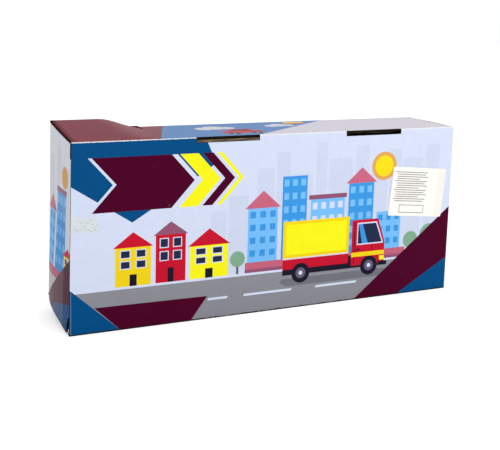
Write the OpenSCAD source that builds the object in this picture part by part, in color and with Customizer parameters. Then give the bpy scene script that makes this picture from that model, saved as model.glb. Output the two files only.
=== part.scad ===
// Printed fluted-board carton for a toy vehicle: a glued tube that lies on its long side,
// closed at both ends by a tuck-in end panel over two dust flaps, with a plain inner tray
// whose lock tabs reach into two slots on the top front crease.
// X runs left to right along the front panel, Y from front to back, Z up from the table.

/* [Tube] */
// Length of the tube, from the left edge of the front panel to its right edge
tube_l = 360; // [330:1:420]
// Depth of the tube, outside of the front panel to outside of the back panel
tube_d = 72; // [64:1:110]
// Height of the tube, table to top panel
tube_h = 155; // [135:1:200]
// Thickness of the fluted board
board_t = 1.6; // [1.2:0.1:2.2]
// Outside radius of a crease between two panels
crease_r = 1.1; // [0.5:0.1:1.2]
// Height of the glued seam flap inside the front panel
seam_h = 18; // [10:1:26]
// Distance of the seam flap from the racked stretch and from the right tuck flap
seam_gap = 8; // [4:1:20]
// Slant of the seam flap's ends
seam_taper = 30; // [10:1:45]

/* [Racked left end] */
// How far the top rear corner is pushed up at the left end
top_lift = 8; // [0:0.5:12]
// How far the bottom rear corner is pushed up at the left end
bottom_lift = 13; // [0:0.5:16]
// Length from the left edge over which the rear stays fully raised
lift_flat = 42; // [30:1:50]
// Length over which the raised rear falls back to level
lift_ramp = 36; // [24:1:40]
// Lean of the left end in degrees, which sets its bottom edge further out than its top edge
left_lean = 1; // [0:0.25:1.5]

/* [Lock slots] */
// Length of each slot along the top front crease
slot_l = 57; // [40:1:64]
// Height of each slot, measured down the front panel
slot_h = 4.6; // [4.3:0.1:7]
// Start of the first slot, from the left edge
slot_a = 104; // [98:1:116]
// Start of the second slot, from the left edge
slot_b = 245; // [200:1:256]

/* [End closures] */
// Running gap at a fold and between layers of board
fold_gap = 0.3; // [0.2:0.05:0.5]
// Outward bow of the left end panel, which is pushed in flush with the tube's cut edges
left_bow = 0.5; // [0.25:0.25:2]
// Outward bow of the right end panel, which stands outside the tube's cut edges
right_bow = 2.5; // [1:0.5:5]
// Distance of the right end panel's cut edges below and above the tube's own edges
end_edge_gap = 0.8; // [0.5:0.1:1.5]
// Length of a tuck flap, from its fold to its free edge
tuck_l = 18; // [14:1:20]
// Corner radius of a tuck flap
tuck_corner_r = 9; // [4:1:12]
// Lean of a tuck flap away from the front panel
tuck_lean = 14; // [13:0.5:18]
// Length of the lock slit at each end of a tuck fold
tuck_slit = 12; // [8:1:18]
// Width of a lock slit, cut back from the end panel's tuck fold
slit_w = 1.5; // [1:0.5:5]
// Extra width of the slit that has sprung open at the left end's lower corner
slit_spring = 4; // [0:0.5:5]
// Length of a dust flap, from its fold to its free edge
dust_l = 42; // [30:1:48]
// Distance of a dust flap's lock shoulder from the inside of the front panel
dust_shoulder_gap = 3; // [0.5:0.5:5]
// Difference between a dust flap's lock shoulder and the slit that it locks behind
dust_shoulder_play = 1.5; // [1:0.5:4]
// Distance of a dust flap below its shoulder from the inside of the front panel
dust_setback = 8.4; // [8:0.2:12]
// Distance of a dust flap from the inside of the back panel
dust_rear_gap = 0.5; // [0.3:0.1:1.5]
// Slant of a dust flap's front edge
dust_front_taper = 6; // [3:1:10]
// Slant of a dust flap's rear edge, which lets it swing out behind the end panel
dust_rear_taper = 32; // [31:1:36]

/* [Inner tray] */
// Thickness of the tray's board
tray_t = 1.6; // [1.2:0.1:2]
// Gap between the racked stretch and the tray
tray_left_gap = 6; // [3:1:16]
// Gap between the tray and the right tuck flap
tray_right_gap = 10; // [3:1:20]
// Gap between the tray's top board and the top panel
tray_head_gap = 1; // [0.6:0.1:1.2]
// Gap between the tray's bottom board and the seam flap
tray_front_gap = 1.5; // [1:0.1:4]
// Gap between the tray's top board, without its tabs, and the front panel
tray_top_gap = 14; // [8:1:24]
// Gap between the tray's back board and the back panel
tray_back_gap = 0.6; // [0.3:0.1:2]
// Side clearance of a lock tab in its slot
tab_side_gap = 0.6; // [0.3:0.1:2]
// Distance of the seated tab's cut edge behind the front face
tab_recess = 0.4; // [0.2:0.1:1]
// Distance that the second tab stops short of the front panel
tab_short = 7; // [3:1:7]

/* [Hidden] */
$fn = 64;
LEFT = -1;
RIGHT = 1;
UPPER = 1;
LOWER = -1;

ramp_steps = 8;
arc_steps = 6;
sheet_step = 12;
bow_facets = 720;
cut_over = 1;

front_y = -tube_d / 2;
back_y = tube_d / 2;
front_in = front_y + board_t;
back_in = back_y - board_t;
corner_r = min(crease_r, board_t);
racked_l = lift_flat + lift_ramp;
print_white = "whitesmoke";
kraft = "tan";
pale_liner = "gainsboro";

// Fold axes of an end closure; x counts inwards from the tube's end
hinge_y = back_y - board_t / 2;
tuck_y = front_in + fold_gap + board_t / 2;
tuck_reach = hinge_x(RIGHT) + tuck_l * cos(tuck_lean);
tuck_root_r = board_t / 2 / sin(45 - tuck_lean / 2) + fold_gap;
dust_front = front_in + dust_setback;
dust_shoulder = front_in + dust_shoulder_gap;
dust_back = back_in - dust_rear_gap;

// Inner tray
tray_x0 = racked_l + tray_left_gap - tube_l / 2;
tray_l = tube_l - racked_l - tray_left_gap - tuck_reach - tray_right_gap;
tray_top_z = tube_h - board_t - tray_head_gap - tray_t;
tray_front_y = front_in + board_t + tray_front_gap;
tray_top_y = front_in + tray_top_gap;
tray_back_y = back_in - tray_back_gap;

// Share of the rear lift at a distance from the left edge: full, then a smooth fall to level
function lift_share(x) =
    x <= lift_flat ? 1
    : x >= lift_flat + lift_ramp ? 0
    : (1 + cos(180 * (x - lift_flat) / lift_ramp)) / 2;

// Rise at depth y of an edge whose rear end is raised by lift
function rise(y, lift) = lift * (y - front_y) / tube_d;

function end_top_lift(side) = side == LEFT ? top_lift : 0;
function end_bottom_lift(side) = side == LEFT ? bottom_lift : 0;

// The left closure sits inside the tube's cut edges, the right one outside them
function hinge_x(side) = side == LEFT ? board_t / 2 : -(fold_gap + board_t / 2);
function dust_x(side) = side == LEFT ? 1.5 * board_t + fold_gap : board_t / 2;
function end_gap(side) = side == LEFT ? board_t + fold_gap : end_edge_gap;
function end_bow(side) = side == LEFT ? left_bow : right_bow;

// How far in the leaning left edge of the tube is at a height
function rim_x(z) = (z - tube_h / 2) * tan(left_lean);

// Ends of a tuck fold, between the two lock slits
function tuck_bottom(side) = end_gap(side) + rise(tuck_y, end_bottom_lift(side)) + tuck_slit;
function tuck_top(side) = tube_h - end_gap(side) + rise(tuck_y, end_top_lift(side)) - tuck_slit;

// Distances from the left edge at which the racked stretch changes section
stations = concat([0], [for (i = [0:ramp_steps]) lift_flat + lift_ramp * i / ramp_steps]);

// Top panel's section as [y, z]: a crease at the front and at the rear
top_section = concat(
    [[front_y, tube_h - board_t]],
    [for (i = [0:arc_steps]) let (a = 180 - 90 * i / arc_steps)
        [front_y + corner_r + corner_r * cos(a), tube_h - corner_r + corner_r * sin(a)]],
    [for (i = [0:arc_steps]) let (a = 90 - 90 * i / arc_steps)
        [back_y - corner_r + corner_r * cos(a), tube_h - corner_r + corner_r * sin(a)]],
    [[back_y, tube_h - board_t]]
);

// Bottom panel's section as [y, z]: cut square behind the front panel, creased at the rear
bottom_section = concat(
    [[front_in, board_t], [back_y, board_t]],
    [for (i = [0:arc_steps]) let (a = -90 * i / arc_steps)
        [back_y - corner_r + corner_r * cos(a), corner_r + corner_r * sin(a)]],
    [[front_in, 0]]
);

// The same outline with its long sides divided, for a loft that bends smoothly
function divided(section) = [for (i = [0:len(section) - 1])
    let (a = section[i], b = section[(i + 1) % len(section)], n = ceil(norm(b - a) / sheet_step))
    each [for (k = [0:n - 1]) a + (b - a) * k / n]];

// A sheet along the tube: level, and at the left end lofted with its section sheared up at the rear
module racked_sheet(section, lift, start) {
    outline = divided(section);
    count = len(outline);
    last = len(stations) - 1;
    rows = [for (s = [0:last]) s == 0 ? start : stations[s]];
    middle = [for (k = [0:1]) [for (p = outline) p[k]] * [for (p = outline) 1 / count]];
    points = [for (p = concat([for (x = rows) for (q = outline) [x, q]],
                              [[rows[0], middle], [rows[last], middle]]))
        [p[0] - tube_l / 2, p[1][0], p[1][1] + rise(p[1][0], lift * lift_share(p[0]))]];
    sides = [for (s = [0:last - 1]) for (i = [0:count - 1])
        let (j = (i + 1) % count, a = s * count, b = a + count)
        each [[a + i, b + j, b + i], [a + i, a + j, b + j]]];
    hub = (last + 1) * count;
    caps = [for (i = [0:count - 1])
        let (j = (i + 1) % count, b = last * count)
        each [[hub, j, i], [hub + 1, b + i, b + j]]];
    polyhedron(points = points, faces = concat(sides, caps), convexity = 4);
    yz_plate(racked_l - tube_l / 2, tube_l - racked_l, section);
}

// A flat plate of the given [y, z] outline, from x towards +x
module yz_plate(x, thickness, outline) {
    translate([x, 0, 0]) rotate([90, 0, 90]) linear_extrude(thickness) polygon(outline);
}

// A flat plate of the given [x, z] outline, from y towards +y
module xz_plate(y, thickness, outline) {
    translate([0, y + thickness, 0]) rotate([90, 0, 0]) linear_extrude(thickness) polygon(outline);
}

// Room for both slots, through the front panel and the crease above it
module lock_slots() {
    for (start = [slot_a, slot_b])
        translate([start - tube_l / 2, front_y - cut_over, tube_h - slot_h])
            cube([slot_l, board_t + cut_over, slot_h + cut_over]);
}

// Room at both ends of a top or bottom panel for the folds of its dust flaps
module dust_fold_notches(z) {
    for (side = [LEFT, RIGHT]) {
        side_gap = side == LEFT ? 2 * fold_gap : fold_gap;
        place_end(side) translate([-cut_over, dust_shoulder - side_gap, z - tube_h / 4])
            cube([dust_x(side) + board_t / 2 + fold_gap + cut_over,
                  dust_back - dust_shoulder + 2 * side_gap, tube_h / 2]);
    }
}

// Puts a piece drawn at the left end, x counting inwards, on either end of the tube
module place_end(side) {
    mirror([side == RIGHT ? 1 : 0, 0, 0]) translate([-tube_l / 2, 0, tube_h / 2])
        rotate([0, side == LEFT ? left_lean : 0, 0]) translate([0, 0, -tube_h / 2]) children();
}

module front_panel() {
    edge_h = tube_h - board_t;
    color(print_white) difference() {
        xz_plate(front_y, board_t, [
            [rim_x(0) - tube_l / 2, 0], [tube_l / 2, 0],
            [tube_l / 2, edge_h], [rim_x(edge_h) - tube_l / 2, edge_h]
        ]);
        lock_slots();
    }
}

module top_panel() {
    color("indianred") difference() {
        racked_sheet(top_section, top_lift, rim_x(tube_h));
        lock_slots();
        dust_fold_notches(tube_h);
    }
}

module bottom_panel() {
    color("gray") difference() {
        racked_sheet(bottom_section, bottom_lift, rim_x(0));
        dust_fold_notches(0);
    }
}

// Between the creases of the top and bottom panels, which it follows round the racked corner;
// its left edge stops behind the fold of the end panel
module back_panel() {
    left_x = hinge_x(LEFT) + board_t / 2 + fold_gap - tube_l / 2;
    low_z = board_t + bottom_lift;
    high_z = tube_h - board_t + rise(back_in, top_lift);
    lower = [for (x = stations) x == 0 ? [left_x + rim_x(low_z), low_z]
        : [x - tube_l / 2, board_t + bottom_lift * lift_share(x)]];
    upper = [for (i = [len(stations) - 1:-1:0]) let (x = stations[i]) x == 0 ? [left_x + rim_x(high_z), high_z]
        : [x - tube_l / 2, tube_h - board_t + rise(back_in, top_lift * lift_share(x))]];
    right = [[tube_l / 2, board_t], [tube_l / 2, tube_h - board_t]];
    color(print_white) xz_plate(back_in, board_t, concat(lower, right, upper));
}

module seam_flap() {
    x0 = racked_l + seam_gap - tube_l / 2;
    x1 = tube_l / 2 - tuck_reach - seam_gap;
    slant = seam_h * tan(seam_taper);
    color(pale_liner) xz_plate(front_in, board_t, [
        [x0, board_t], [x1, board_t],
        [x1 - slant, board_t + seam_h], [x0 + slant, board_t + seam_h]
    ]);
}

// Top board of the tray with its two lock tabs; the first tab is seated, the second falls short
module tray_top() {
    tab_w = slot_l - 2 * tab_side_gap;
    color(kraft) translate([0, 0, tray_top_z]) {
        translate([tray_x0, tray_top_y, 0]) cube([tray_l, tray_back_y - tray_top_y, tray_t]);
        for (tab = [[slot_a, front_y + tab_recess], [slot_b, front_in + tab_short]])
            translate([tab[0] + tab_side_gap - tube_l / 2, tab[1], 0])
                cube([tab_w, tray_top_y - tab[1], tray_t]);
    }
}

module tray_back() {
    color(kraft) translate([tray_x0, tray_back_y - tray_t, board_t + tray_t])
        cube([tray_l, tray_t, tray_top_z - board_t - tray_t]);
}

module tray_bottom() {
    color(kraft) translate([tray_x0, tray_front_y, board_t])
        cube([tray_l, tray_back_y - tray_front_y, tray_t]);
}

// Plan of an end panel: a bowed strip with a round fold on its hinge axis and on its tuck axis
module end_panel_plan(side) {
    fold_x = hinge_x(side);
    bow = end_bow(side);
    span = hinge_y - tuck_y;
    bow_r = (span * span / 4 + bow * bow) / (2 * bow);
    intersection() {
        translate([fold_x + bow_r - bow, (hinge_y + tuck_y) / 2]) difference() {
            circle(r = bow_r + board_t / 2, $fn = bow_facets);
            circle(r = bow_r - board_t / 2, $fn = bow_facets);
        }
        translate([fold_x - bow - board_t, tuck_y]) square([bow + 2 * board_t, span]);
    }
    for (y = [hinge_y, tuck_y])
        translate([fold_x, y]) circle(d = board_t);
}

module end_panel(side) {
    y0 = tuck_y - board_t;
    y1 = hinge_y + board_t;
    low = end_bottom_lift(side);
    high = end_top_lift(side);
    spring = side == LEFT ? slit_spring : 0;
    gap = end_gap(side);
    low_gap = side == LEFT ? gap + fold_gap : gap;
    bow = end_bow(side);
    color(print_white) place_end(side) intersection() {
        linear_extrude(tube_h + high) end_panel_plan(side);
        yz_plate(hinge_x(side) - bow - board_t, bow + 2 * board_t, [
            [tuck_y + slit_w + spring, low_gap + rise(tuck_y + slit_w + spring, low)],
            [y1, low_gap + rise(y1, low)],
            [y1, tube_h - gap + rise(y1, high)],
            [tuck_y + slit_w, tube_h - gap + rise(tuck_y + slit_w, high)],
            [tuck_y + slit_w, tuck_top(side)],
            [y0, tuck_top(side)],
            [y0, tuck_bottom(side)],
            [tuck_y + slit_w, tuck_bottom(side)]
        ]);
    }
}

// Free corners of a tuck flap are round; its fold edge is hollowed round the end panel's fold
module tuck_flap(side) {
    z0 = tuck_bottom(side);
    z1 = tuck_top(side);
    r = tuck_corner_r;
    color(pale_liner) place_end(side) translate([hinge_x(side), tuck_y, 0]) rotate([0, 0, tuck_lean])
        difference() {
            rotate([90, 0, 0]) linear_extrude(board_t, center = true) {
                translate([0, z0]) square([tuck_l - r, z1 - z0]);
                translate([0, z0 + r]) square([tuck_l, z1 - z0 - 2 * r]);
                for (z = [z0 + r, z1 - r])
                    translate([tuck_l - r, z]) circle(r = r);
            }
            cylinder(r = tuck_root_r, h = tube_h + top_lift);
        }
}

// A slanted-sided plate that hangs from, or stands on, a round fold at the tube's end,
// with a shoulder that locks behind the end panel's slit
module dust_flap(side, level) {
    lift = level == UPPER ? end_top_lift(side) : end_bottom_lift(side);
    fold_z = level == UPPER ? tube_h - board_t / 2 : board_t / 2;
    shoulder_l = tuck_slit - dust_shoulder_play;
    step_front = dust_front + shoulder_l * tan(dust_front_taper);
    tip_front = dust_front + dust_l * tan(dust_front_taper);
    tip_back = dust_back - dust_l * tan(dust_rear_taper);
    color(pale_liner) place_end(side) intersection() {
        translate([dust_x(side), front_y, fold_z])
            rotate([atan(lift / tube_d) - 90, 0, 0])
                linear_extrude(2 * tube_d) dust_flap_plan(level);
        yz_plate(dust_x(side) - board_t, 2 * board_t, [
            [dust_shoulder, fold_z + rise(dust_shoulder, lift) + level * board_t],
            [dust_back, fold_z + rise(dust_back, lift) + level * board_t],
            [dust_back, fold_z + rise(dust_back, lift)],
            [tip_back, fold_z + rise(tip_back, lift) - level * dust_l],
            [tip_front, fold_z + rise(tip_front, lift) - level * dust_l],
            [step_front, fold_z + rise(step_front, lift) - level * shoulder_l],
            [dust_shoulder, fold_z + rise(dust_shoulder, lift) - level * shoulder_l]
        ]);
    }
}

// Section of a dust flap across its fold: the round fold and the plate beside it
module dust_flap_plan(level) {
    circle(d = board_t);
    translate([-board_t / 2, level == UPPER ? 0 : -2 * dust_l]) square([board_t, 2 * dust_l]);
}

front_panel();
top_panel();
back_panel();
bottom_panel();
seam_flap();
tray_top();
tray_back();
tray_bottom();
end_panel(LEFT);  // left_end_panel
tuck_flap(LEFT);  // left_tuck_flap
dust_flap(LEFT, UPPER);  // left_dust_flap_top
dust_flap(LEFT, LOWER);  // left_dust_flap_bottom
end_panel(RIGHT);  // right_end_panel
tuck_flap(RIGHT);  // right_tuck_flap
dust_flap(RIGHT, UPPER);  // right_dust_flap_top
dust_flap(RIGHT, LOWER);  // right_dust_flap_bottom
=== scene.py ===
# Dresses a packed toy carton: printed board, cut edges, creases, a paper label, camera and light.
import math

import bmesh
import bpy
from mathutils import Matrix, Vector


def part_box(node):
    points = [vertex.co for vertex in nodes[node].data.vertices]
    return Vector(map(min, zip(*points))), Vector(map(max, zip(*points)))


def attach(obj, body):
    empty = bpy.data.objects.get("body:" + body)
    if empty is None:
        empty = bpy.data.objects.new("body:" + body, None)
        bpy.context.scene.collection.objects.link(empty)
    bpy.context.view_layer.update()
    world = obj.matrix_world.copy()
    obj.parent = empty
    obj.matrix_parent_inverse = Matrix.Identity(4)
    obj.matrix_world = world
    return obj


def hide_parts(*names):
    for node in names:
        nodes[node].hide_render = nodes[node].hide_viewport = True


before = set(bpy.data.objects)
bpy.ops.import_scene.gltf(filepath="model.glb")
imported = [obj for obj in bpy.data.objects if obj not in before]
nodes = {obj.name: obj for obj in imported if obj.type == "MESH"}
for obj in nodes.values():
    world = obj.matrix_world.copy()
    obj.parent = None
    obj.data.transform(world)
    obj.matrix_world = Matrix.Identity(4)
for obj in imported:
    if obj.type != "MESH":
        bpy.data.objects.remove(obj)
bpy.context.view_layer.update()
scene = bpy.context.scene
mm = 0.001
print("frame: loaded", len(nodes), "nodes")

# sizes that everything below is placed by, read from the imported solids
frontLow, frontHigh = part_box("front_panel")
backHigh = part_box("back_panel")[1]
boardT = frontHigh[1] - frontLow[1]
tubeLeft, tubeRight = -frontHigh[0], frontHigh[0]
tubeFront, tubeBack = frontLow[1], backHigh[1]
tubeTop = frontHigh[2] + boardT
tubeD = (tubeBack - tubeFront) / mm   # depth and height in mm, for the print layouts
tubeH = tubeTop / mm


def linear(hexCode):  # sRGB hex to a linear RGBA
    parts = [int(hexCode[i:i + 2], 16) / 255 for i in (1, 3, 5)]
    return [c / 12.92 if c <= 0.04045 else ((c + 0.055) / 1.055) ** 2.4 for c in parts] + [1.0]


def addNode(tree, kind, settings=None, **links):  # a node, its settings, and its inputs as values or sockets
    node = tree.nodes.new(kind)
    for key, value in (settings or {}).items():
        setattr(node, key, value)
    for key, value in links.items():
        socket = node.inputs[int(key[2:])] if key.startswith("in") else node.inputs[key.replace("_", " ")]
        if isinstance(value, bpy.types.NodeSocket):
            tree.links.new(value, socket)
        else:
            socket.default_value = value
    return node


def newMaterial(name):
    material = bpy.data.materials.new(name)
    material.use_nodes = True
    return material, material.node_tree, material.node_tree.nodes["Principled BSDF"]


def scaleFor(grainMm):  # noise scale for a grain of this size
    return 1 / (grainMm * mm)


def clamp(value):
    return min(1, max(0, value))


# inks by the names that the layouts below use
inks = {
    "paper": "#D0D8EE", "blue": "#034B80", "maroon": "#480024", "road": "#8C8D95", "roadPale": "#BDBEC4",
    "sky": "#74B9F3", "skyDeep": "#3C93DA", "rose": "#C3627B", "roseDeep": "#8D536F",
    "orange": "#DDA455", "yellow": "#F1D31A", "lemon": "#F3EE1C", "red": "#C5162F",
    "dark": "#1B1728", "glass": "#232B48", "post": "#5F5B75",
    "skyline": "#C8D1E7", "skylineEnd": "#DADCE7", "paperEnd": "#E4E5EF", "leaf": "#7FA98B",
    # fold and crease are painted shade: near black in the lid's pushed-in fold, dark maroon along its kink
    "maroonLid": "#7A2C3B", "fold": "#1C0B12", "crease": "#55202C",
    "skyLid": "#4F80B8", "paperLid": "#D2CEDA", "roadShade": "#6E6F78",
    # the next two are the end's maroon and blue with a painted sheen over them
    "maroonPale": "#633F4C", "bluePale": "#476185",
    "label": "#F3F1EA", "labelUnder": "#ECEAE2", "labelGrey": "#74726F",
    "residue": "#D2DADF", "fleck": "#93A79C",
}
inkNames = list(inks)
graded = {
    "inks": ("sky", "skyDeep", "yellow", "red", "rose", "road", "leaf"),
    "low": 0.9, "rise": 0.2,   # printed a little lighter towards the top
}

litho = {
    "fluteMm": 3.2,            # washboard of the fluting under the paper
    "mottleMm": 7.0,           # slow unevenness of the ink film
    "fibreMm": 0.5,            # drawn coarser than real paper fibre so that it shows
    "buckleMm": 45.0,          # slow buckling of the board
    "raggedMm": 2.38,          # grain of the cracked borders and of the dark lower band
    "softMm": 0.2,             # those borders fade over this much to either side
    "wearMm": (0.5225, 0.825),   # least and most width of the cracked ink along a crease
    "wornPaper": "#F2F1EE",
    "rim": 0.12,               # share of bare paper at a cut rim
    "scuffMm": 10.5,
    "scuff": 0.35,
    "rawEdgeAndShadeMm": (0.6, 1.68),    # least and most height of the dark lower band: the raw edge, and a painted contact shadow
    "rawEdgeAndShadeColour": "#1E1916",
    "roughness": (0.36, 0.8),  # of the film, and where it is worn
    "specular": 0.03,
}


# Offset-printed paper under a thin rubbed varnish, glued on fine fluting: solid inks, nearly matt,
# a faint washboard, and white fibre where the ink has cracked on the creases
def varnishedLithoPaper():
    material, tree, shader = newMaterial("varnishedLithoPaper")
    place = addNode(tree, "ShaderNodeTexCoord")
    xyz = addNode(tree, "ShaderNodeSeparateXYZ", Vector=place.outputs["Object"])
    normal = addNode(tree, "ShaderNodeSeparateXYZ", Vector=place.outputs["Normal"])
    ink = addNode(tree, "ShaderNodeAttribute", {"attribute_name": "ink"})

    mottle = addNode(tree, "ShaderNodeTexNoise", Vector=place.outputs["Object"],
                     Scale=scaleFor(litho["mottleMm"]), Detail=3.0)
    shade = addNode(tree, "ShaderNodeMapRange", Value=mottle.outputs["Fac"], To_Min=0.95, To_Max=1.04)
    film = addNode(tree, "ShaderNodeVectorMath", {"operation": "SCALE"},
                   Vector=ink.outputs["Color"], Scale=shade.outputs["Result"])

    ragged = addNode(tree, "ShaderNodeTexNoise", Vector=place.outputs["Object"],
                     Scale=scaleFor(litho["raggedMm"]), Detail=4.0)

    def raggedBorder(distance, limitsMm):  # 1 where the distance is under a limit that wanders
        limit = addNode(tree, "ShaderNodeMapRange", Value=ragged.outputs["Fac"], From_Min=0.3, From_Max=0.75,
                        To_Min=limitsMm[0] * mm, To_Max=limitsMm[1] * mm)
        inside = addNode(tree, "ShaderNodeMath", {"operation": "SUBTRACT"},
                         in0=limit.outputs["Result"], in1=distance)
        border = addNode(tree, "ShaderNodeMapRange", Value=inside.outputs[0],
                         From_Min=-litho["softMm"] * mm, From_Max=litho["softMm"] * mm)
        return border.outputs["Result"]

    # the ink is cracked near the two upper long creases
    offY = addNode(tree, "ShaderNodeMath", {"operation": "ABSOLUTE"}, in0=xyz.outputs["Y"])
    offY = addNode(tree, "ShaderNodeMath", {"operation": "SUBTRACT"}, in0=offY.outputs[0], in1=tubeBack)
    offZ = addNode(tree, "ShaderNodeMath", {"operation": "SUBTRACT"}, in0=xyz.outputs["Z"], in1=tubeTop / 2)
    offZ = addNode(tree, "ShaderNodeMath", {"operation": "ABSOLUTE"}, in0=offZ.outputs[0])
    offZ = addNode(tree, "ShaderNodeMath", {"operation": "SUBTRACT"}, in0=offZ.outputs[0], in1=tubeTop / 2)
    corner = addNode(tree, "ShaderNodeCombineXYZ", X=offY.outputs[0], Y=offZ.outputs[0])
    reach = addNode(tree, "ShaderNodeVectorMath", {"operation": "LENGTH"}, Vector=corner.outputs["Vector"])
    upper = addNode(tree, "ShaderNodeMath", {"operation": "GREATER_THAN"},
                    in0=xyz.outputs["Z"], in1=tubeTop / 2)
    wear = addNode(tree, "ShaderNodeMath", {"operation": "MULTIPLY"},
                   in0=raggedBorder(reach.outputs["Value"], litho["wearMm"]), in1=upper.outputs[0])
    # a thin pale rim where the paper was cut at the tube's two ends
    endOff = addNode(tree, "ShaderNodeMath", {"operation": "ABSOLUTE"}, in0=xyz.outputs["X"])
    endOff = addNode(tree, "ShaderNodeMath", {"operation": "SUBTRACT"}, in0=endOff.outputs[0], in1=tubeRight)
    endOff = addNode(tree, "ShaderNodeMath", {"operation": "ABSOLUTE"}, in0=endOff.outputs[0])
    rim = addNode(tree, "ShaderNodeMapRange", Value=endOff.outputs[0],
                  From_Min=0.2 * mm, From_Max=0.5 * mm, To_Min=litho["rim"], To_Max=0.0)
    worn = addNode(tree, "ShaderNodeMath", {"operation": "MAXIMUM"},
                   in0=wear.outputs[0], in1=rim.outputs["Result"])
    # a few light scuffs
    rub = addNode(tree, "ShaderNodeMapping", Vector=place.outputs["Object"], Scale=(1.0, 1.0, 2.6))
    rub = addNode(tree, "ShaderNodeTexNoise", Vector=rub.outputs["Vector"],
                  Scale=scaleFor(litho["scuffMm"]), Detail=6.0, Roughness=0.72)
    scuff = addNode(tree, "ShaderNodeMapRange", Value=rub.outputs["Fac"],
                    From_Min=0.7, From_Max=0.8, To_Max=litho["scuff"])
    worn = addNode(tree, "ShaderNodeMath", {"operation": "MAXIMUM"},
                   in0=worn.outputs[0], in1=scuff.outputs["Result"])
    colour = addNode(tree, "ShaderNodeMix", {"data_type": "RGBA"}, in0=worn.outputs[0],
                     in6=film.outputs["Vector"], in7=linear(litho["wornPaper"]))
    # the front's raw lower edge is dark: the raw edge, and a painted contact shadow where it stands on the floor
    facing = addNode(tree, "ShaderNodeMath", {"operation": "LESS_THAN"}, in0=normal.outputs["Y"], in1=-0.7)
    rawEdgeAndShade = addNode(tree, "ShaderNodeMath", {"operation": "MULTIPLY"},
                   in0=raggedBorder(xyz.outputs["Z"], litho["rawEdgeAndShadeMm"]), in1=facing.outputs[0])
    colour = addNode(tree, "ShaderNodeMix", {"data_type": "RGBA"}, in0=rawEdgeAndShade.outputs[0],
                     in6=colour.outputs[2], in7=linear(litho["rawEdgeAndShadeColour"]))
    tree.links.new(colour.outputs[2], shader.inputs["Base Color"])

    rough = addNode(tree, "ShaderNodeMapRange", Value=worn.outputs[0],
                    To_Min=litho["roughness"][0], To_Max=litho["roughness"][1])
    tree.links.new(rough.outputs["Result"], shader.inputs["Roughness"])
    shader.inputs["IOR"].default_value = 1.5
    shader.inputs["Specular IOR Level"].default_value = litho["specular"]

    # flutes run along the tube, so the washboard steps across it on every panel
    flat = addNode(tree, "ShaderNodeMath", {"operation": "ABSOLUTE"}, in0=normal.outputs["Z"])
    step = addNode(tree, "ShaderNodeMath", {"operation": "MULTIPLY_ADD"},
                   in0=xyz.outputs["Y"], in1=flat.outputs[0], in2=xyz.outputs["Z"])
    turn = addNode(tree, "ShaderNodeMath", {"operation": "MULTIPLY"},
                   in0=step.outputs[0], in1=2 * math.pi / (litho["fluteMm"] * mm))
    wave = addNode(tree, "ShaderNodeMath", {"operation": "SINE"}, in0=turn.outputs[0])
    washboard = addNode(tree, "ShaderNodeBump", Strength=0.16, Distance=0.02 * mm, Height=wave.outputs[0])
    buckle = addNode(tree, "ShaderNodeTexNoise", Vector=place.outputs["Object"],
                     Scale=scaleFor(litho["buckleMm"]), Detail=1.5)
    buckled = addNode(tree, "ShaderNodeBump", Strength=0.5, Distance=0.9 * mm,
                      Height=buckle.outputs["Fac"], Normal=washboard.outputs["Normal"])
    fibre = addNode(tree, "ShaderNodeTexNoise", Vector=place.outputs["Object"],
                    Scale=scaleFor(litho["fibreMm"]), Detail=2.0)
    grain = addNode(tree, "ShaderNodeBump", Strength=0.12, Distance=0.02 * mm,
                    Height=fibre.outputs["Fac"], Normal=buckled.outputs["Normal"])
    tree.links.new(grain.outputs["Normal"], shader.inputs["Normal"])
    return material


liner = {"speckMm": 0.667, "dark": "#B9B4AB", "pale": "#D2CFC8", "roughness": 0.88}


# Grey recycled liner on the inside of the board: dull, speckled with fibre,
# which is drawn coarser than it is so that it shows
def greyLinerBoard():
    material, tree, shader = newMaterial("greyLinerBoard")
    place = addNode(tree, "ShaderNodeTexCoord")
    speck = addNode(tree, "ShaderNodeTexNoise", Vector=place.outputs["Object"],
                    Scale=scaleFor(liner["speckMm"]), Detail=4.0)
    ramp = addNode(tree, "ShaderNodeMapRange", Value=speck.outputs["Fac"], From_Min=0.35, From_Max=0.7)
    colour = addNode(tree, "ShaderNodeMix", {"data_type": "RGBA"}, in0=ramp.outputs["Result"],
                     in6=linear(liner["dark"]), in7=linear(liner["pale"]))
    tree.links.new(colour.outputs[2], shader.inputs["Base Color"])
    shader.inputs["Roughness"].default_value = liner["roughness"]
    bump = addNode(tree, "ShaderNodeBump", Strength=0.25, Distance=0.04 * mm, Height=speck.outputs["Fac"])
    tree.links.new(bump.outputs["Normal"], shader.inputs["Normal"])
    return material


# colours of the cut edge, darkened as painted shade
rawCutShaded = {"frayMm": 1.11, "cell": "#0E0B0A", "wall": "#2C241D", "roughness": 0.92, "specular": 0.08}
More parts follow.
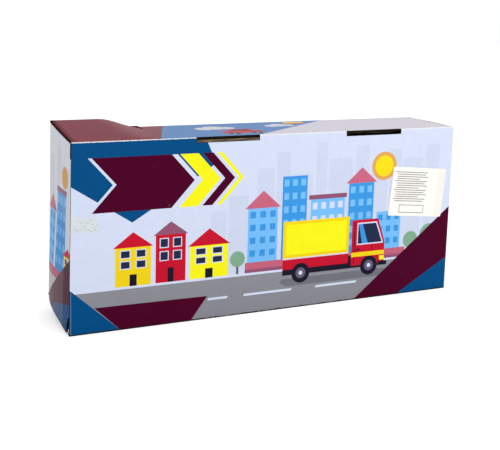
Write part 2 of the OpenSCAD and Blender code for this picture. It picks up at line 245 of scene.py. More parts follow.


# Cut edge of printed board, nearly black: dark brown board darkened further as painted shade of the seams and
# slots it sits in; fluting that shows as a row of cells between two liners
def cutBoardEdge():
    material, tree, shader = newMaterial("cutPrintedBoard")
    place = addNode(tree, "ShaderNodeTexCoord")
    along = addNode(tree, "ShaderNodeVectorMath", {"operation": "DOT_PRODUCT"},
                    in0=place.outputs["Object"], in1=(1.0, 1.0, 1.0))
    turn = addNode(tree, "ShaderNodeMath", {"operation": "MULTIPLY"},
                   in0=along.outputs["Value"], in1=2 * math.pi / (litho["fluteMm"] * mm))
    wave = addNode(tree, "ShaderNodeMath", {"operation": "SINE"}, in0=turn.outputs[0])
    cell = addNode(tree, "ShaderNodeMapRange", Value=wave.outputs[0], From_Min=-0.5, From_Max=0.7)
    fray = addNode(tree, "ShaderNodeTexNoise", Vector=place.outputs["Object"],
                   Scale=scaleFor(rawCutShaded["frayMm"]), Detail=3.0)
    mixed = addNode(tree, "ShaderNodeMath", {"operation": "MULTIPLY"},
                    in0=cell.outputs["Result"], in1=fray.outputs["Fac"])
    colour = addNode(tree, "ShaderNodeMix", {"data_type": "RGBA"}, in0=mixed.outputs[0],
                     in6=linear(rawCutShaded["cell"]), in7=linear(rawCutShaded["wall"]))
    tree.links.new(colour.outputs[2], shader.inputs["Base Color"])
    shader.inputs["Roughness"].default_value = rawCutShaded["roughness"]
    shader.inputs["Specular IOR Level"].default_value = rawCutShaded["specular"]
    bump = addNode(tree, "ShaderNodeBump", Strength=0.6, Distance=0.15 * mm, Height=mixed.outputs[0])
    tree.links.new(bump.outputs["Normal"], shader.inputs["Normal"])
    return material


tabCut = {"lineMm": 0.714, "stretch": 20, "gap": "#150F0A", "line": "#98815C", "roughness": 0.92}


# Edge of a kraft tab whose flutes run along it: brown liner lines with dark gaps between them
def runningKraftEdge():
    material, tree, shader = newMaterial("cutKraftBoard")
    place = addNode(tree, "ShaderNodeTexCoord")
    drawn = addNode(tree, "ShaderNodeMapping", Vector=place.outputs["Object"],
                    Scale=(1 / tabCut["stretch"], 1.0, 1.0))
    fibre = addNode(tree, "ShaderNodeTexNoise", Vector=drawn.outputs["Vector"],
                    Scale=scaleFor(tabCut["lineMm"]), Detail=3.0)
    streak = addNode(tree, "ShaderNodeMapRange", Value=fibre.outputs["Fac"], From_Min=0.44, From_Max=0.66)
    colour = addNode(tree, "ShaderNodeMix", {"data_type": "RGBA"}, in0=streak.outputs["Result"],
                     in6=linear(tabCut["gap"]), in7=linear(tabCut["line"]))
    tree.links.new(colour.outputs[2], shader.inputs["Base Color"])
    shader.inputs["Roughness"].default_value = tabCut["roughness"]
    bump = addNode(tree, "ShaderNodeBump", Strength=0.5, Distance=0.15 * mm, Height=streak.outputs["Result"])
    tree.links.new(bump.outputs["Normal"], shader.inputs["Normal"])
    return material


trayKraftShaded = {"fibreMm": 0.909, "stretch": 4, "dark": "#6A4F2E", "pale": "#92734A", "roughness": 0.86}


# Bare kraft board of the tray: warm brown, darker than bare kraft as painted shade of the box's inside, with long
# fibres that are drawn coarse so that they show
def kraftBoard():
    material, tree, shader = newMaterial("kraftBoard")
    place = addNode(tree, "ShaderNodeTexCoord")
    drawn = addNode(tree, "ShaderNodeMapping", Vector=place.outputs["Object"],
                    Scale=(1 / trayKraftShaded["stretch"], 1.0, 1.0))
    fibre = addNode(tree, "ShaderNodeTexNoise", Vector=drawn.outputs["Vector"],
                    Scale=scaleFor(trayKraftShaded["fibreMm"]), Detail=4.0)
    ramp = addNode(tree, "ShaderNodeMapRange", Value=fibre.outputs["Fac"], From_Min=0.3, From_Max=0.72)
    colour = addNode(tree, "ShaderNodeMix", {"data_type": "RGBA"}, in0=ramp.outputs["Result"],
                     in6=linear(trayKraftShaded["dark"]), in7=linear(trayKraftShaded["pale"]))
    tree.links.new(colour.outputs[2], shader.inputs["Base Color"])
    shader.inputs["Roughness"].default_value = trayKraftShaded["roughness"]
    bump = addNode(tree, "ShaderNodeBump", Strength=0.25, Distance=0.05 * mm, Height=fibre.outputs["Fac"])
    tree.links.new(bump.outputs["Normal"], shader.inputs["Normal"])
    return material


labelStock = {"cloudMm": 4.17, "roughness": 0.5}


# Coated label paper: off-white, smoother than the board
def coatedLabelPaper():
    material, tree, shader = newMaterial("coatedLabelPaper")
    place = addNode(tree, "ShaderNodeTexCoord")
    ink = addNode(tree, "ShaderNodeAttribute", {"attribute_name": "ink"})
    cloud = addNode(tree, "ShaderNodeTexNoise", Vector=place.outputs["Object"],
                    Scale=scaleFor(labelStock["cloudMm"]), Detail=3.0)
    shade = addNode(tree, "ShaderNodeMapRange", Value=cloud.outputs["Fac"], To_Min=0.95, To_Max=1.03)
    film = addNode(tree, "ShaderNodeVectorMath", {"operation": "SCALE"},
                   Vector=ink.outputs["Color"], Scale=shade.outputs["Result"])
    tree.links.new(film.outputs["Vector"], shader.inputs["Base Color"])
    shader.inputs["Roughness"].default_value = labelStock["roughness"]
    bump = addNode(tree, "ShaderNodeBump", Strength=0.2, Distance=0.15 * mm, Height=cloud.outputs["Fac"])
    tree.links.new(bump.outputs["Normal"], shader.inputs["Normal"])
    return material


lithoPaper = varnishedLithoPaper()
greyLiner = greyLinerBoard()
cutEdge = cutBoardEdge()
cutKraft = runningKraftEdge()
kraft = kraftBoard()
labelPaper = coatedLabelPaper()
print("materials:", len(bpy.data.materials))


# print layouts are shapes in mm across and up a panel, later ones over earlier ones
def rect(u0, v0, u1, v1):
    return [(u0, v0), (u1, v0), (u1, v1), (u0, v1)]


def slant(u0, v0, u1, v1, lean):  # a rectangle whose top is pushed across by lean
    return [(u0, v0), (u1, v0), (u1 + lean, v1), (u0 + lean, v1)]


def disc(u, v, r, sides=18):
    turns = [2 * math.pi * i / sides for i in range(sides)]
    return [(u + r * math.cos(turn), v + r * math.sin(turn)) for turn in turns]


def tower(u, v, w, h, wall, pane, columns, rows):  # a plain block with an even grid of windows
    shapes = [(wall, rect(u, v, u + w, v + h))]
    stepU, stepV = w / columns, h / rows
    for i in range(columns):
        for j in range(rows):
            shapes.append((pane, rect(u + (i + 0.22) * stepU, v + (j + 0.25) * stepV,
                                      u + (i + 0.78) * stepU, v + (j + 0.75) * stepV)))
    return shapes


def wheel(u, v, r):
    return [("dark", disc(u, v, r)), ("post", disc(u, v, r * 0.55, 14)), ("paper", disc(u, v, r * 0.22, 10))]


def lorry(u, v):  # a plain box lorry facing right
    shapes = [
        ("roadShade", [(u - 3, v + 2), (u + 4, v - 2), (u + 104, v - 2),
                       (u + 108, v + 2), (u + 104, v + 5), (u, v + 5)]),
        ("dark", rect(u, v + 8, u + 104, v + 13)),
        ("yellow", rect(u, v + 13, u + 66, v + 56)),
        ("red", rect(u, v + 13, u + 66, v + 22)),
        ("paper", rect(u, v + 22, u + 66, v + 23.2)),
        ("lemon", rect(u + 3, v + 26, u + 63, v + 53)),
        ("dark", rect(u + 66, v + 12, u + 69, v + 20)),
        ("red", [(u + 69, v + 10), (u + 104, v + 10), (u + 104, v + 30), (u + 96, v + 52), (u + 69, v + 52)]),
        ("dark", rect(u + 71.5, v + 12, u + 72.3, v + 50)),
        ("dark", rect(u + 90.5, v + 12, u + 91.3, v + 28)),
        ("paper", [(u + 74.5, v + 28.8), (u + 102.6, v + 28.8), (u + 94.8, v + 49.3), (u + 74.5, v + 49.3)]),
        ("glass", [(u + 75.5, v + 30), (u + 101, v + 30), (u + 94, v + 48), (u + 75.5, v + 48)]),
        ("skyDeep", [(u + 80, v + 30), (u + 86, v + 30), (u + 80, v + 48), (u + 76, v + 48)]),
        ("yellow", rect(u + 69, v + 18, u + 104, v + 22)),
        ("dark", rect(u + 73.5, v + 24, u + 78, v + 25.4)),
        ("lemon", rect(u + 99, v + 13, u + 104, v + 17)),
        ("dark", rect(u + 98, v + 8, u + 107, v + 12)),
    ]
    return shapes + wheel(u + 18, v + 9, 9) + wheel(u + 88, v + 9, 9)


def house(u, v, w, h, wall, roof):  # a plain gabled house with four windows and a door
    shapes = [(wall, rect(u, v, u + w, v + h)),
              (roof, [(u - 2, v + h), (u + w + 2, v + h), (u + w / 2, v + h + w * 0.42)])]
    frameMm = 0.8
    for i in (0.16, 0.6):
        for j in (0.5, 0.76):
            u0, v0, u1, v1 = u + w * i, v + h * j, u + w * (i + 0.24), v + h * (j + 0.16)
            shapes.append(("paper", rect(u0 - frameMm, v0 - frameMm, u1 + frameMm, v1 + frameMm)))
            shapes.append(("glass", rect(u0, v0, u1, v1)))
    return shapes + [("dark", rect(u + w * 0.4, v, u + w * 0.6, v + h * 0.34))]


def chevron(u, v, w, h, reach):  # a broad arrowhead stripe pointing right, in two halves
    return [[(u, v), (u + w, v), (u + w + reach, v + h / 2), (u + reach, v + h / 2)],
            [(u + reach, v + h / 2), (u + w + reach, v + h / 2), (u + w, v + h), (u, v + h)]]


def roundTree(u, v, r):
    return [("post", rect(u - r * 0.15, v, u + r * 0.15, v + r * 1.4)), ("leaf", disc(u, v + r * 1.9, r, 14))]


# front and back: a town behind a road
faceArt = []
for u, w, top in ((118, 14, 92), (134, 18, 104), (160, 16, 126), (178, 13, 139), (193, 20, 120), (216, 11, 146),
                  (229, 24, 131), (256, 14, 142), (272, 18, 124), (292, 12, 137), (306, 22, 128), (331, 15, 140)):
    faceArt.append(("skyline", rect(u, 34, u + w, top)))
faceArt += [("orange", disc(286, 122, 13, 32)), ("yellow", disc(286, 122, 9.5, 28))]
faceArt += tower(152, 36, 28, 56, "sky", "skyDeep", 3, 5) + [("rose", [(149, 92), (183, 92), (166, 107)])]
faceArt += tower(184, 36, 24, 82, "skyDeep", "sky", 3, 7)
faceArt += tower(212, 36, 34, 60, "sky", "paper", 4, 5) + [("roseDeep", rect(210, 96, 248, 100))]
faceArt += tower(250, 36, 26, 72, "skyDeep", "sky", 3, 6) + [("rose", [(247, 108), (279, 108), (263, 122)])]
faceArt += tower(280, 36, 26, 44, "sky", "skyDeep", 3, 4)
faceArt += [("rose", rect(150, 36, 312, 45)), ("roseDeep", rect(150, 36, 312, 39))]
faceArt += house(36, 34, 30, 34, "yellow", "red")
faceArt += house(70, 34, 26, 42, "red", "roseDeep")
faceArt += house(100, 34, 34, 30, "lemon", "red")
faceArt += roundTree(143, 36, 7) + roundTree(318, 36, 8) + roundTree(338, 36, 10)
faceArt += [("paper", rect(-3, 33, 361, 36)), ("road", rect(-3, -1, 361, 34))]
faceArt += [("paper", slant(u0, 16, u1, 18, 1)) for u0, u1 in ((116, 134), (149, 195), (219, 261))]
faceArt += lorry(186, 22)
# corner stripes, with chevrons over the upper one
faceArt += [("blue", [(-3, 122.5), (50, 88.5), (66, 98), (122, 133), (111, 157), (-3, 157)])]
for ink, u, w in (("paper", 14, 74), ("maroon", 17, 66), ("lemon", 90, 16), ("maroon", 110, 9), ("lemon", 123, 4)):
    faceArt += [(ink, half) for half in chevron(u, 98, w, 44, 20)]
faceArt += [
    ("blue", [(-3, -1), (42, -1), (-3, 39.7)]),
    ("maroon", [(42, -1), (100.3, -1), (116, 20), (19, 21)]),
    ("maroon", [(257.7, -1), (303.2, -1), (361, 31.6), (361, 80.8)]),
    ("blue", [(303.2, -1), (361, -1), (361, 31.6)]),
]

# what a torn-off sticker left on the front
residue = {"flecks": 24, "firstMm": 1.5, "pitchMm": 0.82, "rows": (84.6, 86.2, 90.5), "sway": (0.7, 1.0, 2.4)}
residueArt = [("residue", [(-3, 84), (20, 83), (23, 87), (22, 93), (10, 96), (-3, 97)])]
for i in range(residue["flecks"]):  # most of them along the lower side of the patch
    row = i % 3
    u = residue["firstMm"] + residue["pitchMm"] * i
    v = residue["rows"][row] + residue["sway"][row] * math.sin(2.7 * i)
    length, lean = 1.1 + 0.5 * math.sin(1.9 * i), 0.5 * math.sin(3.1 * i)
    residueArt.append(("fleck", slant(u, v, u + length, v + 0.45, lean)))

# lid: three grounds, a small car, clouds, and the front's inks just over the crease
lidArt = [
    ("paperLid", rect(-3, -1, 361, tubeD + 1)),
    ("skyLid", [(73, -1), (158, -1), (262, tubeD + 1), (101, tubeD + 1)]),
    ("maroonLid", [(-3, -1), (73, -1), (101, tubeD + 1), (-3, tubeD + 1)]),
    # a thin darker line painted as shade along the lid's kink
    ("crease", [(73.4, 33), (77.9, 54), (77.1, 54)]),
    # near-black painted shade in the pushed-in fold
    ("fold", [(77.4, 53), (78.0, 71), (73.0, 71)]),
    ("paper", rect(-3, -1, 361, 0.4)),
    ("blue", rect(-3, -1, 112, 0.4)),
]
for u, v, r in ((128, 44, 8), (138, 47, 10), (150, 44, 7), (194, 47, 6), (203, 50, 8), (212, 47, 5)):
    lidArt.append(("paperLid", disc(u, v, r, 14)))
lidArt += [("red", rect(136, 14, 172, 26)), ("red", slant(144, 26, 166, 36, 2)),
           ("glass", slant(147, 27, 163, 33, 1.4))]
lidArt += wheel(144, 13, 5) + wheel(165, 13, 5)
lidArt += [("yellow", rect(214, 58, 234, 66)), ("red", rect(214, 55, 234, 58))]

# both ends: a narrower town over the stripes
endArt = [("skylineEnd", rect(6, 60, 20, 136)), ("skylineEnd", rect(30, 60, 42, 146)),
          ("skylineEnd", rect(48, 60, 68, 132))]
endArt += [("orange", disc(54, 124, 9, 24))]
endArt += tower(6, 36, 22, 56, "sky", "skyDeep", 2, 5) + [("rose", [(3, 92), (31, 92), (17, 105)])]
endArt += tower(32, 36, 26, 74, "skyDeep", "sky", 3, 6) + [("roseDeep", rect(30, 110, 60, 114))]
endArt += house(56, 36, 18, 26, "yellow", "red")
endArt += [("rose", rect(-2, 38, 76, 46)), ("roadPale", rect(-2, -3, 76, 38))]
endArt += [("maroon", [(-2, 8.5), (-2, -3), (76, -3), (76, 66.5)]),
           ("blue", [(14, -3), (76, -3), (76, 26.5), (34, 17), (19, 3.1)])]
# behind a soft upright bend the left end's stripes are paler: painted sheen, standing in for the varnish
# reflecting the bright surroundings at a grazing view
paintedSheenArt = [("maroonPale", [(-2, 8.5), (-2, -3), (56, -3), (56, 51.6)]),
           ("bluePale", [(14, -3), (56, -3), (56, 22), (34, 17), (19, 3.1)])]

baseArt = [("road", rect(-1, -1, 361, tubeD + 1)), ("blue", [(-1, -1), (60, -1), (-1, tubeD + 1)]),
           ("maroon", [(300, -1), (361, -1), (361, tubeD + 1), (270, tubeD + 1)])]
print("print: shapes on the front", len(faceArt))

# out is where a board's printed side faces; across and up are the axes of its layout
panels = {
    "frontBoard": {
        "node": "front_panel", "body": "tube", "out": (0, -1, 0), "across": (1, 0, 0), "up": (0, 0, 1),
        "origin": (tubeLeft, tubeFront, 0), "art": faceArt + residueArt,
    },
    "backBoard": {
        "node": "back_panel", "body": "tube", "out": (0, 1, 0), "across": (-1, 0, 0), "up": (0, 0, 1),
        "origin": (tubeRight, tubeBack, 0), "art": faceArt, "foldInset": 0,
    },
    "topBoard": {
        "node": "top_panel", "body": "tube", "out": (0, 0, 1), "across": (1, 0, 0), "up": (0, 1, 0),
        "origin": (tubeLeft, tubeFront, tubeTop), "art": lidArt, "foldInset": 1,
        "dentMm": 1.4, "puckerMm": 0.6,   # how far the sharp fold is pushed in, and its rear rim out
    },
    "bottomBoard": {
        "node": "bottom_panel", "body": "tube", "out": (0, 0, -1), "across": (1, 0, 0), "up": (0, -1, 0),
        "origin": (tubeLeft, tubeBack, 0), "art": baseArt, "foldInset": 1,
    },
    "leftEndBoard": {
        "node": "left_end_panel", "body": "left_end", "out": (-1, 0, 0), "across": (0, -1, 0), "up": (0, 0, 1),
        "origin": (tubeLeft, tubeBack, 0), "art": endArt + paintedSheenArt, "ground": "paperEnd",
        "slump": {
            "bulgeMm": 2.6,
            "startMm": 118, "fadeMm": 100,   # height where the bulge starts, and how far below it is full
            "rearMm": 33.6, "spanMm": 66.6,  # depth where it starts at the rear, and its run to the front
            "dropMm": 1.5,                   # of the lower edge, doubled at the front
            "dropFromMm": -31.5, "dropToMm": 27.5, "dropUnderMm": 20,
            "doubleFromMm": -10, "doubleRunMm": 18,
            "cutsUp": range(6, 130, 6), "cutsDeep": (-31, -27, -21, -14, -7, 0, 7, 14, 21, 27, 31),
        },
    },
    "rightEndBoard": {
        "node": "right_end_panel", "body": "right_end", "out": (1, 0, 0), "across": (0, 1, 0), "up": (0, 0, 1),
        "origin": (tubeRight, tubeFront, 0), "art": endArt, "ground": "paperEnd",
    },
}
printSide, linerSide, cutSide = 0, 1, 2   # material slots of every board and flap
boardMaterials = [lithoPaper, greyLiner, cutEdge]
# how far a face has to look outwards, or along the fold, to take the print, and inwards to take the liner
facingLimits = {"panelPrint": 0.25, "flapPrint": 0.6, "lip": 0.2, "lipBack": -0.3, "liner": -0.6}


def printFaces(bm, panel):  # cuts a panel's outer faces along the shapes and marks each face with its ink
    out, across, up, origin = (Vector(panel[k]) for k in ("out", "across", "up", "origin"))
    mark = bm.faces.layers.int.new("inkIndex")

    def flatSpot(co):
        return (co - origin).dot(across) / mm, (co - origin).dot(up) / mm

    for face in bm.faces:
        face[mark] = inkNames.index(panel.get("ground", "paper"))
    for ink, points in panel["art"]:
        lowU, highU = min(p[0] for p in points), max(p[0] for p in points)
        lowV, highV = min(p[1] for p in points), max(p[1] for p in points)
        hit = []
        for face in bm.faces:
            if face.material_index == printSide:
                spots = [flatSpot(v.co) for v in face.verts]
                if (min(s[0] for s in spots) < highU and max(s[0] for s in spots) > lowU
                        and min(s[1] for s in spots) < highV and max(s[1] for s in spots) > lowV):
                    hit.append(face)
        sides = list(zip(points, points[1:] + points[:1]))
        for (u0, v0), (u1, v1) in sides:
            geom = hit + list({e for f in hit for e in f.edges}) + list({v for f in hit for v in f.verts})
            cut = bmesh.ops.bisect_plane(bm, geom=geom, dist=1e-7,
                                         plane_co=origin + across * (u0 * mm) + up * (v0 * mm),
                                         plane_no=(across * (v1 - v0) - up * (u1 - u0)).normalized())
            hit = [g for g in cut["geom"] if isinstance(g, bmesh.types.BMFace)]
        for face in hit:
            u, v = flatSpot(face.calc_center_median())
            if all((u1 - u0) * (v - v0) - (v1 - v0) * (u - u0) >= 0 for (u0, v0), (u1, v1) in sides):
                face[mark] = inkNames.index(ink)
    if "dentMm" in panel:  # the sharp fold is pushed in
        spot = [f for f in bm.faces if inkNames[f[mark]] == "fold"]
        pit = bmesh.ops.extrude_face_region(bm, geom=spot)
        sunk = [g for g in pit["geom"] if isinstance(g, bmesh.types.BMVert)]
        bmesh.ops.delete(bm, geom=spot, context="FACES_ONLY")
        walls = {f for v in sunk for f in v.link_faces}
        rearmost = max(flatSpot(v.co)[1] for v in sunk)
        brim = {v for f in walls for v in f.verts} - set(sunk)
        pucker = [v for v in brim if flatSpot(v.co)[1] > rearmost - 0.1]
        bmesh.ops.translate(bm, vec=-out * panel["dentMm"] * mm, verts=sunk)
        bmesh.ops.translate(bm, vec=out * panel["puckerMm"] * mm, verts=pucker)
        # the pit's walls are painted near black too, as shade in the pit
        for face in walls:
            face[mark] = inkNames.index("fold")
    colours = bm.loops.layers.float_color.new("ink")
    for face in bm.faces:
        ink = inkNames[face[mark]]
        for loop in face.loops:
            tone = 1.0
            if ink in graded["inks"]:
                tone = graded["low"] + graded["rise"] * flatSpot(loop.vert.co)[1] / tubeH
            loop[colours] = [c * tone for c in linear(inks[ink])[:3]] + [1.0]


def makePiece(name, bm, materials, body):
    mesh = bpy.data.meshes.new(name)
    bm.to_mesh(mesh)
    bm.free()
    for material in materials:
        mesh.materials.append(material)
    mesh.shade_smooth()
    mesh.set_sharp_from_angle(angle=math.radians(7))
    piece = bpy.data.objects.new(name, mesh)
    scene.collection.objects.link(piece)
    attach(piece, body)
    return piece


def boardCopy(node):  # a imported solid's mesh, merged
    bm = bmesh.new()
    bm.from_mesh(nodes[node].data)
    bmesh.ops.remove_doubles(bm, verts=bm.verts, dist=0.001 * mm)
    bm.normal_update()
    return bm


foldPaper = {"carryMm": 0.26, "withinMm": 6}   # how far it is carried, and how near an end


def closeFolds(bm, insetMm):  # carries the paper over the running gap beside a fold near either end
    reach = [min(v.co.x for v in bm.verts), max(v.co.x for v in bm.verts)]
    carried = []
    for side, end in zip((-1, 1), reach):
        walls = [f for f in bm.faces if f.normal.x * side > 0.9
                 and insetMm * mm <= abs(f.calc_center_median().x - end) < foldPaper["withinMm"] * mm]
        bmesh.ops.translate(bm, vec=(side * foldPaper["carryMm"] * mm, 0, 0),
                            verts=list({v for f in walls for v in f.verts}))
        carried += walls
    return carried


def slump(bm, soft):  # bulges an end panel out towards its lower edge, and lets that edge down
    for axis, stops in (((0, 0, 1), soft["cutsUp"]), ((0, 1, 0), soft["cutsDeep"])):
        for stop in stops:
            bmesh.ops.bisect_plane(bm, geom=bm.faces[:] + bm.edges[:] + bm.verts[:], dist=1e-7,
                                   plane_co=Vector(axis) * (stop * mm), plane_no=axis)
    bm.normal_update()
    lowEdge = {v for f in bm.faces if f.normal.z < -0.9 for v in f.verts}
    for vert in bm.verts:
        y, z = (vert.co / mm).yz
        down = clamp((soft["startMm"] - z) / soft["fadeMm"])
        across = clamp((soft["rearMm"] - y) / soft["spanMm"])
        vert.co.x -= soft["bulgeMm"] * mm * down * down * (3 - 2 * down) * math.sin(math.pi * across ** 0.7)
        if vert in lowEdge and soft["dropFromMm"] < y < soft["dropToMm"] and z < soft["dropUnderMm"]:
            vert.co.z -= soft["dropMm"] * mm * (1 + clamp((soft["doubleFromMm"] - y) / soft["doubleRunMm"]))


def onLongCrease(face):  # the rounded creases of the top and bottom boards
    return abs(face.normal.y) > 0.6 and abs(face.calc_center_median().y) > tubeBack - 0.1 * mm


for name, panel in panels.items():
    bm = boardCopy(panel["node"])
    carried = closeFolds(bm, panel["foldInset"]) if "foldInset" in panel else []
    if "slump" in panel:
        slump(bm, panel["slump"])
    creased = panel["node"] in ("top_panel", "bottom_panel")
    for face in bm.faces:
        facing = face.normal.dot(Vector(panel["out"]))
        face.material_index = linerSide if facing < facingLimits["liner"] else cutSide
        if creased and face.material_index == cutSide and onLongCrease(face):
            face.material_index = printSide
        if facing > facingLimits["panelPrint"] or face in carried:
            face.material_index = printSide
    printFaces(bm, panel)
    piece = makePiece(name, bm, boardMaterials, panel["body"])
    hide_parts(panel["node"])
    print("board:", name, len(piece.data.polygons), "faces")

# outsides of the flaps are plain paper, with the ink of the panel they fold from carried over the fold;
# lip is where the fold faces
flaps = {
    "leftTopDust": {
        "node": "left_dust_flap_top", "body": "left_top_dust",
        "out": (-1, 0, 0), "lip": (0, 0, 1), "across": (0, -1, 0),
        "bleed": ("maroonLid", [(-2, 158.4), (74, 150), (74, 170), (-2, 170)]),
    },
    "leftBottomDust": {
        "node": "left_dust_flap_bottom", "body": "left_bottom_dust",
        "out": (-1, 0, 0), "lip": (0, 0, -1), "across": (0, -1, 0),
        # the blue reaches well up the flap: partly the bottom's print carried over the fold, partly painted shade
        # where the flap shows through the sprung slit of the left end
        "bleed": ("blue", [(-2, -3), (74, -3), (74, 11), (-2, 24)]),
    },
    "rightTopDust": {
        "node": "right_dust_flap_top", "body": "right_top_dust",
        "out": (1, 0, 0), "lip": (0, 0, 1), "across": (0, 1, 0),
        "bleed": ("paperLid", rect(-2, 153, 74, 160)),
    },
    "rightBottomDust": {
        "node": "right_dust_flap_bottom", "body": "right_bottom_dust",
        "out": (1, 0, 0), "lip": (0, 0, -1), "across": (0, 1, 0),
        "bleed": ("maroon", rect(-2, -3, 74, 2)),
    },
    "leftTuck": {
        "node": "left_tuck_flap", "body": "left_tuck",
        "out": (0, -1, 0), "lip": (0, -1, 0), "across": (1, 0, 0),
    },
    "rightTuck": {
        "node": "right_tuck_flap", "body": "right_tuck",
        "out": (0, -1, 0), "lip": (0, -1, 0), "across": (1, 0, 0),
    },
}
for name, flap in flaps.items():
    out, lip, across = Vector(flap["out"]), Vector(flap["lip"]), Vector(flap["across"])
    bm = boardCopy(flap["node"])
    for face in bm.faces:
        facing = face.normal.dot(out)
        folded = face.normal.dot(lip) > facingLimits["lip"] and facing > facingLimits["lipBack"]
        face.material_index = linerSide if facing < facingLimits["liner"] else cutSide
        if facing > facingLimits["flapPrint"] or folded:
            face.material_index = printSide
    printFaces(bm, {"out": out, "across": across, "up": (0, 0, 1), "origin": -across * (tubeD * mm / 2),
                    "art": [flap["bleed"]] if "bleed" in flap else []})
    piece = makePiece(name, bm, boardMaterials, flap["body"])
    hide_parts(flap["node"])
    print("flap:", name)

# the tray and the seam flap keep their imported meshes
for name, node in nodes.items():
    if name.startswith("tray") or name == "seam_flap":
        node.data.materials.clear()
        node.data.materials.append(kraft if name.startswith("tray") else greyLiner)
        node.data.materials.append(cutKraft)
        for face in node.data.polygons:  # the second slot is for the front edges of the lock tabs
            face.material_index = 1 if face.normal.y < -0.9 and name == "tray_top" else 0
print("tray: dressed")

label = {
    "corner": (292.0, 75.8),   # mm along and up the front panel
    "sheet": (49.6, 45.3),
    "second": (9.0, -0.9),     # how far the sheet below shows at the right
    "thick": 0.12,
    "round": 1.2,              # radius of the corners
    "tilt": 5.3,               # degrees
    "lines": 14, "pitch": 2.05, "bar": 0.7, "head": 5,   # grey bars and the space above them
    "starts": (3, 5, 5, 5), "ends": (38, 36, 39, 30),    # of every four bars
    "box": (11, 3, 38, 10.5), "boxLine": 0.6,
}


def labelSheet(name, corner, size, depth, ground, art):
    bm = bmesh.new()
    bmesh.ops.create_cube(bm, size=1.0)
    w, h = size
    bmesh.ops.scale(bm, vec=(w * mm, label["thick"] * mm, h * mm), verts=bm.verts)
    upright = [e for e in bm.edges if abs((e.verts[0].co - e.verts[1].co).y) > 0.5 * label["thick"] * mm]
    bmesh.ops.bevel(bm, geom=upright, offset=label["round"] * mm, offset_type="OFFSET", affect="EDGES",
                    segments=4, profile=0.5, material=-1)
    bmesh.ops.translate(bm, vec=(w * mm / 2, 0, h * mm / 2), verts=bm.verts)
    bm.normal_update()
    printFaces(bm, {"out": (0, -1, 0), "across": (1, 0, 0), "up": (0, 0, 1), "origin": (0, 0, 0),
                    "ground": ground, "art": art})
    turned = Matrix.Rotation(math.radians(label["tilt"]), 3, "Y")
    bmesh.ops.rotate(bm, cent=(0, 0, 0), matrix=turned, verts=bm.verts)
    place = Vector((tubeLeft + corner[0] * mm, tubeFront - depth * mm, corner[1] * mm))
    bmesh.ops.translate(bm, vec=place, verts=bm.verts)
    return makePiece(name, bm, [labelPaper], "tube")


bars = []
for i in range(label["lines"]):
    barLow = label["sheet"][1] - label["head"] - i * label["pitch"]
    bars.append(("labelGrey", rect(label["starts"][i % 4], barLow, label["ends"][i % 4], barLow + label["bar"])))
boxU0, boxV0, boxU1, boxV1 = label["box"]
line = label["boxLine"]
bars += [("labelGrey", rect(boxU0, boxV0, boxU1, boxV1)),
         ("label", rect(boxU0 + line, boxV0 + line, boxU1 - line, boxV1 - line))]
underCorner = (label["corner"][0] + label["second"][0], label["corner"][1] + label["second"][1])
labelSheet("labelUnder", underCorner, label["sheet"], label["thick"] * 0.6, "labelUnder", [])
labelSheet("labelTop", label["corner"], label["sheet"], label["thick"] * 1.7, "label", bars)
print("label: two sheets")

shot = {
    "place": (-352.0, -724.2, 267.2),   # mm
    "azimuth": 25.21, "dip": 9.31, "roll": 1.53,   # degrees
    "lens": 66.55, "sensor": 36.0, "shift": -0.15,
}
lens = bpy.data.cameras.new("camera")
lens.lens, lens.sensor_width, lens.shift_y = shot["lens"], shot["sensor"], shot["shift"]
camera = bpy.data.objects.new("camera", lens)
scene.collection.objects.link(camera)
camera.matrix_world = (Matrix.Translation(Vector(shot["place"]) * mm)
                       @ Matrix.Rotation(math.radians(-shot["azimuth"]), 4, "Z")
                       @ Matrix.Rotation(math.radians(90 - shot["dip"]), 4, "X")
                       @ Matrix.Rotation(math.radians(shot["roll"]), 4, "Z"))
scene.camera = camera


def seenRay(tree):  # 1 for rays that show the surroundings: straight, mirrored or through glass
    ray = addNode(tree, "ShaderNodeLightPath")
    seen = addNode(tree, "ShaderNodeMath", {"operation": "MAXIMUM"},
                   in0=ray.outputs["Is Camera Ray"], in1=ray.outputs["Is Glossy Ray"])
    seen = addNode(tree, "ShaderNodeMath", {"operation": "MAXIMUM"},
                   in0=seen.outputs[0], in1=ray.outputs["Is Transmission Ray"])
    return seen.outputs[0]


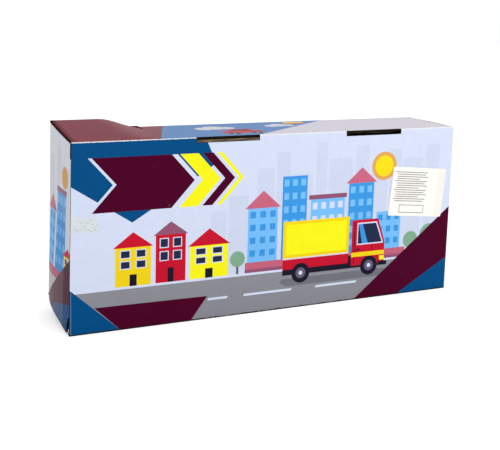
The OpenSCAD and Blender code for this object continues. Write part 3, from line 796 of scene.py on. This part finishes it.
# Matt painted floor: looks white and keeps the shadow
studio = {"floor": "#F2F2F2", "floorHalf": 4.0, "lift": 0.46, "world": 0.62}
bm = bmesh.new()
bmesh.ops.create_grid(bm, x_segments=1, y_segments=1, size=studio["floorHalf"])
floorMesh = bpy.data.meshes.new("floor")
bm.to_mesh(floorMesh)
bm.free()
floor = bpy.data.objects.new("floor", floorMesh)
scene.collection.objects.link(floor)
floorPaint, floorTree, floorShader = newMaterial("paleFloor")
floorShader.inputs["Base Color"].default_value = linear(studio["floor"])
floorShader.inputs["Roughness"].default_value = 0.9
floorShader.inputs["Emission Color"].default_value = (1, 1, 1, 1)
floorLift = addNode(floorTree, "ShaderNodeMath", {"operation": "MULTIPLY"},
                    in0=seenRay(floorTree), in1=studio["lift"])
floorTree.links.new(floorLift.outputs[0], floorShader.inputs["Emission Strength"])
floorMesh.materials.append(floorPaint)

world = bpy.data.worlds.new("studio")
world.use_nodes = True
scene.world = world
sky = world.node_tree.nodes["Background"]
sky.inputs["Color"].default_value = (1, 1, 1, 1)
level = addNode(world.node_tree, "ShaderNodeMapRange", Value=seenRay(world.node_tree),
                To_Min=studio["world"], To_Max=1.0)
world.node_tree.links.new(level.outputs["Result"], sky.inputs["Strength"])

lamps = {   # places, aims and sizes in metres
    "keyLamp": {"place": (0.25, -1.5, 1.1), "aim": (0, 0, 0.08), "size": 1.0, "watts": 11.0},
    "fillLamp": {"place": (1.3, -1.1, 0.7), "aim": (0, 0, 0.08), "size": 1.0, "watts": 6.0},
    "overLamp": {"place": (0.1, 0.3, 1.6), "aim": (0, 0, 0.1), "size": 1.2, "watts": 3.0},
}
for name, lamp in lamps.items():
    light = bpy.data.lights.new(name, "AREA")
    light.size, light.energy = lamp["size"], lamp["watts"]
    holder = bpy.data.objects.new(name, light)
    scene.collection.objects.link(holder)
    holder.location = lamp["place"]
    holder.rotation_euler = (Vector(lamp["aim"]) - Vector(lamp["place"])).to_track_quat("-Z", "Y").to_euler()
print("studio: camera, floor and", len(lamps), "lamps")

scene.view_settings.view_transform = "Standard"
print("scene: done")
